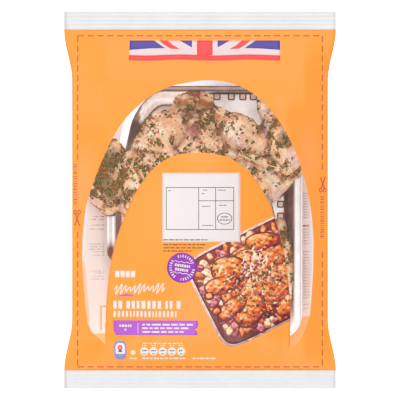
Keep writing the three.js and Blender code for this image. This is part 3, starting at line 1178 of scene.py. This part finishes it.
sharp = 0.01  # the reach of a ramp that is a step, in mm
shadePlaces = [  # share, ramps and bells of each place of painted shade and brown painted reflection; the first two are the walls
    (1.0, [("z", 43, -5), ("z", 3.2, 3), ("y", -140, 26), ("x", 0, -sharp), ("y", 88, -6)], []),  # left
    (1.0, [("z", 43, -5), ("z", 3.2, 3), ("y", -140, 26), ("x", 0, sharp), ("y", 80, -25)], []),  # right
    (0.72, [("y", 114, sharp), ("z", 41, sharp)], []),  # head flange
    (0.6, [("y", 114, sharp), ("z", 41, sharp)], [("y", 125.4, 1.2)]),  # its outer lip
    (0.6, [("y", 114, sharp), ("z", 41, sharp)], [("y", 119.4, 1.5)]),  # its inner lip
    (0.8, [("x", -18, -sharp), ("y", 62, sharp), ("shelf", 18, 6), ("z", 45, -sharp)], []),  # head corner
    (1.0, [("x", -18, -sharp), ("y", 62, sharp)], [("z", 5, 3)]),  # the corner's foot
    (1.4, [("z", 40, sharp)], [("x", -98, 7), ("y", -58, 9)]),  # left flange's fold
    (0.35, [("z", 44, sharp), ("y", 60, -sharp)], [("x", 110.4, 0.9)]),  # right flange's groove
    (0.35, [("z", 44, sharp), ("y", 60, -sharp)], [("x", -97.6, 1.2)]),  # left flange's groove
    (1.0, [("z", 6, -sharp), ("x", 91.5, 2), ("y", 90, -sharp)], []),  # floor's right edge
    (0.8, [("z", 6, -sharp), ("y", 115.6, 2), ("x", -14, sharp)], []),  # floor's head edge
    (0.9, [("z", 44.5, -sharp), ("y", 116.4, 1.2), ("x", 6, 16)], []),  # head wall
]
highlightPlaces = [  # and of each place of painted highlight, which glows by emission
    (0.82, [("x", -14, -sharp), ("y", 84, 5), ("z", 41, -4), ("z", 6, 3)], []),  # left head corner
    (0.56, [("z", 8, -sharp)], []),  # floor
    (0.6, [("z", 44.6, sharp), ("x", -60, -sharp), ("y", 30, 20), ("y", 104, -8)], []),  # left flange
]


def sumOf(table, x, y, z):
    # for each row, its share times its ramps times its bells (axis, middle, reach), all summed; shelf is
    # the height over a ledge that climbs towards the head
    ledge = tray["ledgeRise"] * ramped({"y": y}, tray["ledgeRamps"])
    places = {"x": x, "y": y, "z": z, "shelf": z - ledge}
    total = 0.0
    for share, ramps, bells in table:
        share = share * ramped(places, ramps)
        for axis, middle, reach in bells:
            share = share * bell(places[axis], 1, middle, reach)
        total = total + share
    return total


shell = trayShell()
squares, squareShade = traySquares()
places = shell[0].reshape(-1, 3).T
# painted shade and brown painted reflection on the foil, each place's share summed
paintedShade = np.clip(sumOf(shadePlaces, *places), 0, 1)
paintedHighlight = sumOf(highlightPlaces, *places) * (1 - paintedShade)
# a painted highlight on the tops of the squares
squareHighlight = np.where(squareShade < tray["highlightBelow"], tray["squareHighlight"], 0)
foilTray = addPiece("foilTray", *joined([shell, squares]), foilMaterial(), "foil", 0.02, thickness=0.12)
setValues(foilTray, "paintedShade", np.append(paintedShade, squareShade))
setValues(foilTray, "paintedHighlight", np.append(paintedHighlight, squareHighlight))
print("tray made")

# The bird, breast up with its legs towards the bag's head. Knots: x, y, z, half width, half height.
bird = {
    "voxel": 1.7, "smoothing": 2, "creaseSmoothing": 26, "creaseDepth": 0.9,
    "bumps": [(34, 7, 0.9), (13, 8, 0.45), (5.5, 9, 0.2)],  # wavelength, seed and height
    "filmGap": 1.4, "pressed": 4, "footGap": 2.2,
    "parts": {
        "carcass": [
            (2, -138, 30, 16, 12), (3, -116, 36, 44, 28), (4, -80, 42, 68, 38), (4, -30, 42, 78, 38),
            (2, 16, 42, 74, 37), (0, 44, 40, 66, 32), (-4, 70, 38, 40, 24), (-6, 100, 36, 16, 14),
        ],
        "breast": [
            (4, -120, 40, 30, 20), (4, -80, 54, 56, 34), (4, -20, 56, 66, 37),
            (4, 25, 54, 56, 34), (4, 46, 52, 34, 27), (3, 60, 50, 16, 17),
        ],
        "drumLeft": [
            (-74, 51, 42, 11, 16), (-55, 61, 46, 19, 26), (-40, 69.5, 48, 29, 30),
            (-26, 71, 48, 25, 25), (-12, 67, 50, 11, 12),
        ],
        "thighLeft": [
            (-96, 70, 42, 7, 10), (-99, 52, 44, 20, 21), (-101, 22, 46, 30, 25), (-96, 0, 43, 21, 20),
            (-88, -14, 38, 13, 13),
        ],
        "lapLeft": [
            (-66, 48, 48, 12, 16), (-50, 46, 52, 14, 18), (-34, 48, 54, 14, 18), (-22, 52, 54, 10, 14),
        ],
        "flankLeft": [
            (-78, 54, 43, 15, 17), (-70, 32, 48, 20, 22), (-74, 4, 46, 18, 22), (-82, -19, 38, 13, 15),
        ],
        "flankRight": [(46, 44, 50, 14, 18), (60, 26, 50, 20, 18), (62, 0, 48, 18, 18)],
        "drumRight": [
            (20, 77, 50, 14, 14), (34, 76, 50, 21, 24), (48, 70, 50, 21, 26), (62, 58, 46, 17, 23),
            (74, 44, 42, 13, 16),
        ],
        "hockRight": [(1, 85, 49, 8, 9), (11, 89, 50, 13, 13), (23, 88, 50, 13, 13), (34, 82, 49, 8, 9)],
        "tail": [
            (-24, 92, 43, 9, 11), (-19, 104, 46, 12, 13), (-6, 108, 46, 12, 11), (5, 107, 46, 10, 12),
            (12, 99, 43, 7, 9),
        ],
        "tailTip": [(-18, 112, 44, 5, 8), (-4, 114.5, 46, 5, 7), (6, 113, 44, 5, 7)],
        "thighRight": [
            (84, 104, 42, 14, 12), (90, 86, 44, 21, 24), (95, 62, 45, 24, 28), (95, 40, 44, 22, 24),
            (92, 22, 40, 14, 18),
        ],
        "apron": [
            (50, 38, 52, 18, 18), (66, 28, 52, 21, 17), (77, 15, 48, 18, 12), (82, 5, 44, 10, 8),
            (83, -2, 42, 4, 5),
        ],
        "flap": [(101, 26, 47, 5, 7), (93, 19, 47, 7, 8), (85, 10, 45, 7, 7), (78, 3, 43, 5, 5)],
        "wallSkin": [(67, 114, 40, 5, 8), (70, 100, 43, 6, 9), (73, 84, 45, 6, 10), (75, 68, 46, 5, 10)],
        "skinFold": [(42, 51, 68, 3, 4), (58, 46, 71, 4, 5), (74, 40, 70, 4, 5), (88, 33, 63, 3, 4)],
        "wingRight": [
            (87, -20, 27, 5, 6), (90, -36, 32, 7, 9), (95, -58, 34, 7.5, 10), (98, -82, 34, 5, 8),
            (99.5, -100, 32, 3.5, 5), (100, -110, 30, 1.6, 3),
        ],
    },
}


def limb(knots, along=42, around=26):
    # an ellipse carried along a curve, its half sizes drawn in at both ends as a half circle's are
    path = curveThrough(knots, along)
    centre, half = path[:, :3], np.maximum(path[:, 3:], 0.5)
    travelled = np.concatenate([[0], np.cumsum(np.linalg.norm(np.diff(centre, axis=0), axis=1))])
    for end, size in ((travelled, half[0, 0]), (travelled[-1] - travelled, half[-1, 0])):
        share = np.clip(end / (size * 0.9), 0, 1)
        half = half * np.sqrt(1 - (1 - share) ** 2)[:, None]
    tangent = np.gradient(centre, axis=0)
    tangent /= np.linalg.norm(tangent, axis=1)[:, None]
    side = np.cross(tangent, [0, 0, 1.0])
    side /= np.linalg.norm(side, axis=1)[:, None]
    lift = np.cross(side, tangent)
    angle = np.linspace(0, 2 * np.pi, around, endpoint=False)
    ring = side[:, None] * (half[:, :1] * np.cos(angle))[..., None]
    ring = ring + lift[:, None] * (half[:, 1:] * np.sin(angle))[..., None]
    return centre[:, None] + ring, gridQuads(along, around, closed=True)


def finishedMesh(obj):
    # the object's mesh after its modifiers, as millimetre points, normals and quads
    done = obj.evaluated_get(bpy.context.evaluated_depsgraph_get()).to_mesh()
    points, normals = np.empty((2, len(done.vertices) * 3), np.float32)
    done.vertices.foreach_get("co", points)
    done.vertex_normals.foreach_get("vector", normals)
    quads = np.empty(len(done.loops), np.int32)
    done.loops.foreach_get("vertex_index", quads)
    points, normals = (values.reshape(-1, 3).astype(float) for values in (points, normals))
    return points / mm, normals, quads.reshape(-1, 4)


def birdBody():
    # all the limbs joined, made one skin by a voxel remesh and smoothed, then pressed under the film;
    # a crease is where much more smoothing would move the skin outwards, and its depth is kept for painted
    # shade
    points, quads = joined([limb(knots) for knots in bird["parts"].values()])
    rough = bpy.data.objects.new("roughBird", makeMesh("roughBird", points, quads))
    bpy.context.scene.collection.objects.link(rough)
    skin = rough.modifiers.new("skin", "REMESH")
    skin.mode = "VOXEL"
    skin.voxel_size = bird["voxel"] * mm
    ease = rough.modifiers.new("ease", "SMOOTH")
    ease.iterations = bird["creaseSmoothing"]
    melted = finishedMesh(rough)[0]
    ease.iterations = bird["smoothing"]
    points, normals, faces = finishedMesh(rough)
    bpy.data.objects.remove(rough)
    crease = ((melted - points) * normals).sum(axis=1)
    bumps = sum(height * waves(points, *field) for *field, height in bird["bumps"])
    points = points + normals * bumps[:, None]
    x, y = points[:, 0], points[:, 1]
    top = filmTop(x, y) - bird["filmGap"]
    deep = bird["pressed"]
    near = np.exp(-np.maximum(points[:, 2] - top + deep, 0) / deep)
    points[:, 2] = np.where(points[:, 2] > top - deep, top - deep * near, points[:, 2])
    points[:, 2] = np.maximum(points[:, 2], filmUnder(x, y) + bird["footGap"])
    return points, faces, np.clip(crease / bird["creaseDepth"], 0, 1)


skin = {
    "base": [(254, 208, 160), (242, 178, 140)],
    "clouds": [(62.0, 0.38, (206, 126, 62)), (84.0, 0.68, (255, 230, 198))],  # scale, share and tone
    # the bright tone is a painted highlight and the shade tone painted shade; brown is partly painted shade
    # and partly the seasoning's own colour
    "tones": {
        "flesh": (168, 78, 98), "blood": (150, 24, 36), "fat": (252, 228, 176), "pale": (244, 210, 202),
        "shade": (136, 74, 36), "orange": (206, 110, 44), "olive": (104, 84, 28), "bright": (255, 232, 204),
        "brown": (112, 60, 30),
    },
    "spots": [  # tone, place and radius, each laid over the ones before
        ("fat", 4, 56, 76, 15), ("flesh", -7, 78, 60, 10), ("flesh", -5, 69, 62, 8),
        ("blood", -4, 116, 50, 9), ("pale", 104, 46, 62, 15), ("pale", -117, -2, 50, 14),
        ("pale", 78, 6, 48, 13), ("pale", 40, 62, 76, 12), ("shade", -22, 106, 54, 8),
        ("shade", 66, 82, 60, 8), ("orange", 98, 28, 56, 11), ("orange", 20, 92, 62, 6),
        ("orange", 4, 106, 56, 10), ("shade", -10, 92, 54, 6), ("fat", 62, 45, 72, 9),
        ("shade", 14, 104, 54, 7), ("orange", -70, 44, 62, 10), ("orange", 90, 84, 62, 12),
        ("orange", -16, 108, 56, 7), ("fat", -76, 26, 70, 9), ("olive", -106, 46, 66, 22),
        ("olive", -104, 24, 70, 18), ("olive", -98, 8, 66, 13), ("olive", 88, 92, 62, 13),
        ("olive", 94, 66, 68, 12), ("bright", -52, 76, 72, 13), ("bright", -66, 60, 66, 9),
        ("bright", 33, 78, 72, 12), ("bright", 78, 30, 68, 11), ("bright", 83, 18, 60, 9),
        ("bright", -72, 12, 72, 10), ("brown", 0, 107, 56, 6), ("brown", 9, 102, 56, 6),
        ("brown", -12, 91, 56, 4), ("olive", -14, 104, 56, 7), ("pale", 67, 110, 50, 11),
        ("pale", 70, 98, 54, 11), ("pale", 72, 84, 56, 10), ("pale", 73, 72, 58, 8),
        ("pale", 99, -92, 38, 13), ("bright", 99, -98, 36, 9), ("brown", -4, 92, 56, 5),
        ("shade", -2, 84, 56, 4), ("blood", -10, 116, 48, 8), ("brown", -18, 98, 56, 4),
        ("brown", 2, 98, 58, 5), ("pale", 86, 8, 50, 10),
    ],
    "specks": [(300.0, 0.3, (196, 96, 40)), (410.0, 0.26, (112, 84, 34))],  # scale, size and tone
    # painted shade in the creases, and a painted highlight on the raised edge
    "creaseShade": (134, 66, 42), "creaseShadeShare": 0.8, "edge": (254, 212, 156),
}
foldEdge = {
    "path": [(42.5, 49.7), (57.2, 43.7), (71.5, 39.3), (85.7, 34.9)], "half": 0.55, "lift": 0.3, "near": 2.6,
}


def skinMaterial():
    # pale skin in clouds, each spot's tone at its place, then marinade by rub, painted shade in the creases
    # and a painted highlight on the raised edge
    material, bsdf, where = newMaterial(
        "rawSkin", Subsurface_Weight=0.1, Subsurface_Scale=0.003, Subsurface_Radius=(1.0, 0.45, 0.3),
        Specular_IOR_Level=0.3,
    )
    pink = mottle(where, 34.0, 3.0)
    colour = mixColour(pink, *skin["base"])
    for scale, share, tone in skin["clouds"]:
        colour = mixColour(times(mottle(where, scale, 5.0), share), colour, tone)
    for tone, x, y, z, radius in skin["spots"]:
        spot = useGroup("spot", Vector=where, Centre=(x * mm, y * mm, z * mm), Radius=radius * mm)
        colour = mixColour(spot, colour, skin["tones"][tone])
    rub = attribute(bsdf, "rub")
    marinade = [(mottle(where, 150.0, 5.0), (200, 116, 58))]
    for scale, size, tone in skin["specks"]:
        marinade.append((useGroup("specks", Vector=where, Scale=scale, Size=size), tone))
    marinade.append((times(mottle(where, 240.0, 9.0), 0.75), (122, 112, 58)))
    for mask, tone in marinade:
        colour = mixColour(times(mask, rub), colour, tone)
    # painted shade in the creases, then the raised edge's painted highlight
    for name in ("creaseShade", "edge"):
        colour = mixColour(attribute(bsdf, name), colour, skin[name])
    feed(bsdf, Base_Color=colour, Roughness=ranged(pink, 0.28, 0.46))
    pores = useGroup("specks", Vector=where, Scale=420.0, Size=0.35)
    bump(bsdf, maths("MULTIPLY_ADD", pores, 0.5, mottle(where, 190.0, 1.6)), 0.0009)
    return material


# The seasoning: flakes laid on the bird, one piece for each kind. Patches: x, y, reach in x and y, share.
seasoning = {
    "patches": [
        (-114, 44, 20, 32, 9.0), (-99, 14, 22, 24, 5.0), (-80, 34, 14, 16, 1.5), (-6, 106, 15, 10, 4.6),
        (14, 92, 12, 9, 3.4), (84, 88, 15, 24, 7.0), (92, 60, 14, 14, 4.0), (84, 34, 20, 8, 2.6),
        (-10, 56, 9, 4, 3.4), (30, 54, 22, 5, 1.8), (92, -36, 8, 9, 4.0), (98, -72, 8, 26, 1.6),
        (-44, 52, 34, 12, 1.0), (-56, 88, 12, 8, 0.9), (62, 60, 12, 10, 0.7), (-12, 96, 12, 10, 3.4),
        (4, 80, 14, 8, 1.6), (-97, 62, 11, 12, 5.0),
    ],
    "bare": [
        (69, 100, 8, 24), (99, -98, 8, 15), (84, 10, 16, 15), (104, 44, 9, 10), (-112, -6, 14, 12),
        (-26, 78, 12, 10), (40, 66, 10, 10),
    ],
    "bareness": 0.9, "clumps": [(14, 31, 1.0), (6, 32, 0.7)],  # wavelength, seed and share
    "clumpBase": 0.45, "clumpRange": (0.02, 2), "clumpPower": 1.4,
    "rub": {"even": 0.2, "least": 0.25, "share": 0.42, "most": 0.9},
    "steepest": 0.05, "placedSteepest": 0.2, "lean": 0.18, "smallness": 1.6, "placedSize": 0.9,
    "least": {"long": 0.6, "wide": 0.5}, "wobble": (0.75, 1.2), "jitter": 0.5, "ragged": (-0.1, 0.25),
    "middleAt": 0.4, "topAt": 0.7, "lowAt": 0.5, "underFilm": 0.35,
    "kinds": {
        "greenHerbs": {
            "count": 4200, "long": (1.2, 6.0), "wide": (0.8, 3.2), "high": 0.5, "even": 0.8,
            "slot": "green_herbs", "dark": (46, 58, 6), "light": (132, 124, 28),
        },
        "redFlakes": {
            "count": 2000, "long": (0.8, 4.0), "wide": (0.6, 3.0), "high": 0.5, "even": 1.0,
            "slot": "red_flakes", "dark": (190, 50, 22), "light": (226, 132, 50),
            "placed": [
                (-51.2, 89.5), (-51.7, 84.5), (-45.6, 74.5), (27.4, 84.7), (61.2, 53.7), (20.5, 61.5),
            ],
        },
        "darkSpice": {
            "count": 8000, "long": (0.7, 2.7), "wide": (0.6, 1.9), "high": 0.4, "even": 2.2,
            "slot": "dark_spice", "dark": (110, 58, 14), "light": (214, 132, 40),
        },
    },
}


def seasonedAt(points, even):
    # how thickly a place is seasoned: bell-shaped patches, broken into clumps, with bare places left out
    x, y = points[:, 0], points[:, 1]
    thick = even + sum(share * hump(x, y, *place) for *place, share in seasoning["patches"])
    clumps = sum(share * waves(points, *field) for *field, share in seasoning["clumps"])
    clumps = np.clip(seasoning["clumpBase"] + clumps, *seasoning["clumpRange"])
    thick = thick * clumps ** seasoning["clumpPower"]
    for place in seasoning["bare"]:
        thick = thick * (1 - seasoning["bareness"] * hump(x, y, *place))
    return thick


def raisedEdge(points):
    # a painted highlight along the edge of a fold of skin: a thin limb as high as the highest skin near each
    # of its places
    path = curveThrough(foldEdge["path"], 24)
    away = np.linalg.norm(points[None, :, :2] - path[:, None], axis=2)
    height = np.where(away < foldEdge["near"], points[None, :, 2], 0).max(axis=1) + foldEdge["lift"]
    half = np.full(len(path), foldEdge["half"])
    return limb(np.column_stack([path, height, half, half]), along=60, around=8)


birdPoints, birdFaces, creaseShading = birdBody()
edge = raisedEdge(birdPoints)
rawBird = addPiece("rawBird", *joined([(birdPoints, birdFaces), edge]), skinMaterial(), "raw_skin")
onEdge = np.zeros(edge[0].size // 3)
rub = seasoning["rub"]
birdRub = np.clip(rub["least"] + rub["share"] * seasonedAt(birdPoints, rub["even"]), 0, rub["most"])
# the creases' painted shade, by their depth
setValues(rawBird, "creaseShade", np.append(creaseShading * skin["creaseShadeShare"], onEdge))
setValues(rawBird, "rub", np.append(birdRub, onEdge))
# the raised edge is coloured as a painted highlight
setValues(rawBird, "edge", np.append(np.zeros(len(birdPoints)), onEdge + 1))
print("bird made,", len(birdFaces), "faces")


def flakes(points, faces, kind, draw):
    # faces drawn by area times how thickly that place is seasoned; each takes a six-sided lens
    corner = points[faces]
    centre = corner.mean(axis=1)
    normal = np.cross(corner[:, 2] - corner[:, 0], corner[:, 3] - corner[:, 1])
    area = np.linalg.norm(normal, axis=1)
    normal = normal / np.maximum(area, 1e-9)[:, None]
    chance = area * seasonedAt(centre, kind["even"]) * (normal[:, 2] > seasoning["steepest"])
    picked = draw.choice(len(faces), kind["count"], p=chance / chance.sum())
    placed = kind.get("placed", [])
    for order, place in enumerate(placed):
        away = np.linalg.norm(centre[:, :2] - place, axis=1)
        picked[order] = np.argmin(away + 100 * (normal[:, 2] < seasoning["placedSteepest"]))
    n = normal[picked]
    spin = draw.normal(size=n.shape)
    along = spin - n * (spin * n).sum(axis=1)[:, None]
    along /= np.linalg.norm(along, axis=1)[:, None]
    beside = np.cross(n, along)
    tilt = draw.normal(0, seasoning["lean"], (len(n), 1))
    up = n + along * tilt
    size = draw.uniform(0, 1, (len(n), 1)) ** seasoning["smallness"]
    size[:len(placed)] = seasoning["placedSize"]
    long, wide = (
        kind[key][0] + (kind[key][1] - kind[key][0]) * size * draw.uniform(least, 1, (len(n), 1))
        for key, least in seasoning["least"].items()
    )
    six = np.arange(6)
    angle = six * np.pi / 3
    wobble = draw.uniform(*seasoning["wobble"], (len(n), 6))
    start = centre[picked] + along * draw.normal(0, seasoning["jitter"], (len(n), 1))
    start = start + n * kind["high"] * seasoning["middleAt"]
    rim = start[:, None] + along[:, None] * (long / 2 * np.cos(angle) * wobble)[..., None]
    rim = rim + beside[:, None] * (wide / 2 * np.sin(angle) * wobble)[..., None]
    rim = rim + n[:, None] * draw.uniform(*seasoning["ragged"], (len(n), 6))[..., None]
    top = start + up * kind["high"] * seasoning["topAt"]
    low = start - n * kind["high"] * seasoning["lowAt"]
    verts = np.concatenate([rim, top[:, None], low[:, None]], axis=1)
    film = filmTop(verts[..., 0], verts[..., 1])
    verts[..., 2] = np.minimum(verts[..., 2], film - seasoning["underFilm"])
    after = (six + 1) % 6
    cap = np.stack([six, after, np.full(6, 6)], axis=1)
    base = np.stack([after, six, np.full(6, 7)], axis=1)
    triangles = np.vstack([cap, base])[None] + 8 * np.arange(len(n))[:, None, None]
    return verts.reshape(-1, 3), triangles.reshape(-1, 3), np.repeat(draw.uniform(0, 1, len(n)), 8)


def flakeMaterial(name, low, high):
    # each flake between two colours by its own shade, with a noise over it
    material, bsdf, where = newMaterial(name, Specular_IOR_Level=0.2)
    colour = mixColour(attribute(bsdf, "shade"), low, high)
    grain = mottle(where, 700.0, 2.0)
    feed(
        bsdf, Base_Color=mixColour(times(grain, 0.35), colour, low),
        Roughness=ranged(grain, 0.4, 0.6),
    )
    return material


for order, (name, kind) in enumerate(seasoning["kinds"].items()):
    draw = np.random.default_rng(60 + order)
    verts, triangles, shades = flakes(birdPoints, birdFaces, kind, draw)
    material = flakeMaterial(name, kind["dark"], kind["light"])
    setValues(addPiece(name, verts, triangles, material, kind["slot"]), "shade", shades)
print("seasoning scattered")

# The studio: a white sweep under and round the pack, and four soft boxes.
studio = {
    "cameraHeight": 8.0, "frameWidth": 0.4386, "aimHeight": 0.06, "sensor": 36, "farthest": 60,
    "world": 0.55, "floor": 0.9, "floorGlow": 0.5, "floorHalf": 12000, "floorBelow": 0.3,
    "lights": [
        ("headBox", (0.0, 2.3, 2.0), 1.6, 34), ("footBox", (0.0, -2.3, 2.0), 1.6, 35),
        ("leftBox", (-2.4, 0.3, 2.6), 1.4, 24), ("overhead", (0.5, 0.4, 3.4), 1.2, 18),
    ],
}


def addStudio():
    # a pale floor that glows a little, soft boxes that face the pack, and a camera straight above
    scene = bpy.context.scene
    scene.view_settings.view_transform = "Standard"
    world = bpy.data.worlds.new("studio")
    scene.world = world
    world.use_nodes = True
    sky = world.node_tree.nodes["Background"]
    sky.inputs["Color"].default_value = (1, 1, 1, 1)
    sky.inputs["Strength"].default_value = studio["world"]
    size = studio["floorHalf"]
    corners = np.array([(-size, -size), (size, -size), (size, size), (-size, size)])
    corners = np.column_stack([corners, np.full(4, -studio["floorBelow"])])
    floor = bpy.data.objects.new("floor", makeMesh("floor", corners, np.array([[0, 1, 2, 3]])))
    scene.collection.objects.link(floor)
    material = newMaterial(
        "paleFloor", Roughness=0.8, Base_Color=(studio["floor"],) * 3 + (1,), Emission_Color=(1, 1, 1, 1),
        Emission_Strength=studio["floorGlow"],
    )[0]
    floor.data.materials.append(material)
    for name, place, width, power in studio["lights"]:
        lamp = bpy.data.lights.new(name, "AREA")
        lamp.shape = "SQUARE"
        lamp.size = width
        lamp.energy = power
        box = bpy.data.objects.new(name, lamp)
        scene.collection.objects.link(box)
        x, y, z = box.location = place
        box.rotation_euler = (np.arctan2(np.hypot(x, y), z), 0, np.arctan2(x, -y))
        box.visible_camera = False
    lens = bpy.data.cameras.new("camera")
    lens.sensor_width = studio["sensor"]
    lens.lens = lens.sensor_width * (studio["cameraHeight"] - studio["aimHeight"]) / studio["frameWidth"]
    lens.clip_end = studio["farthest"]
    camera = bpy.data.objects.new("camera", lens)
    camera.location = (0, 0, studio["cameraHeight"])
    scene.collection.objects.link(camera)
    scene.camera = camera


addStudio()
print("studio set")
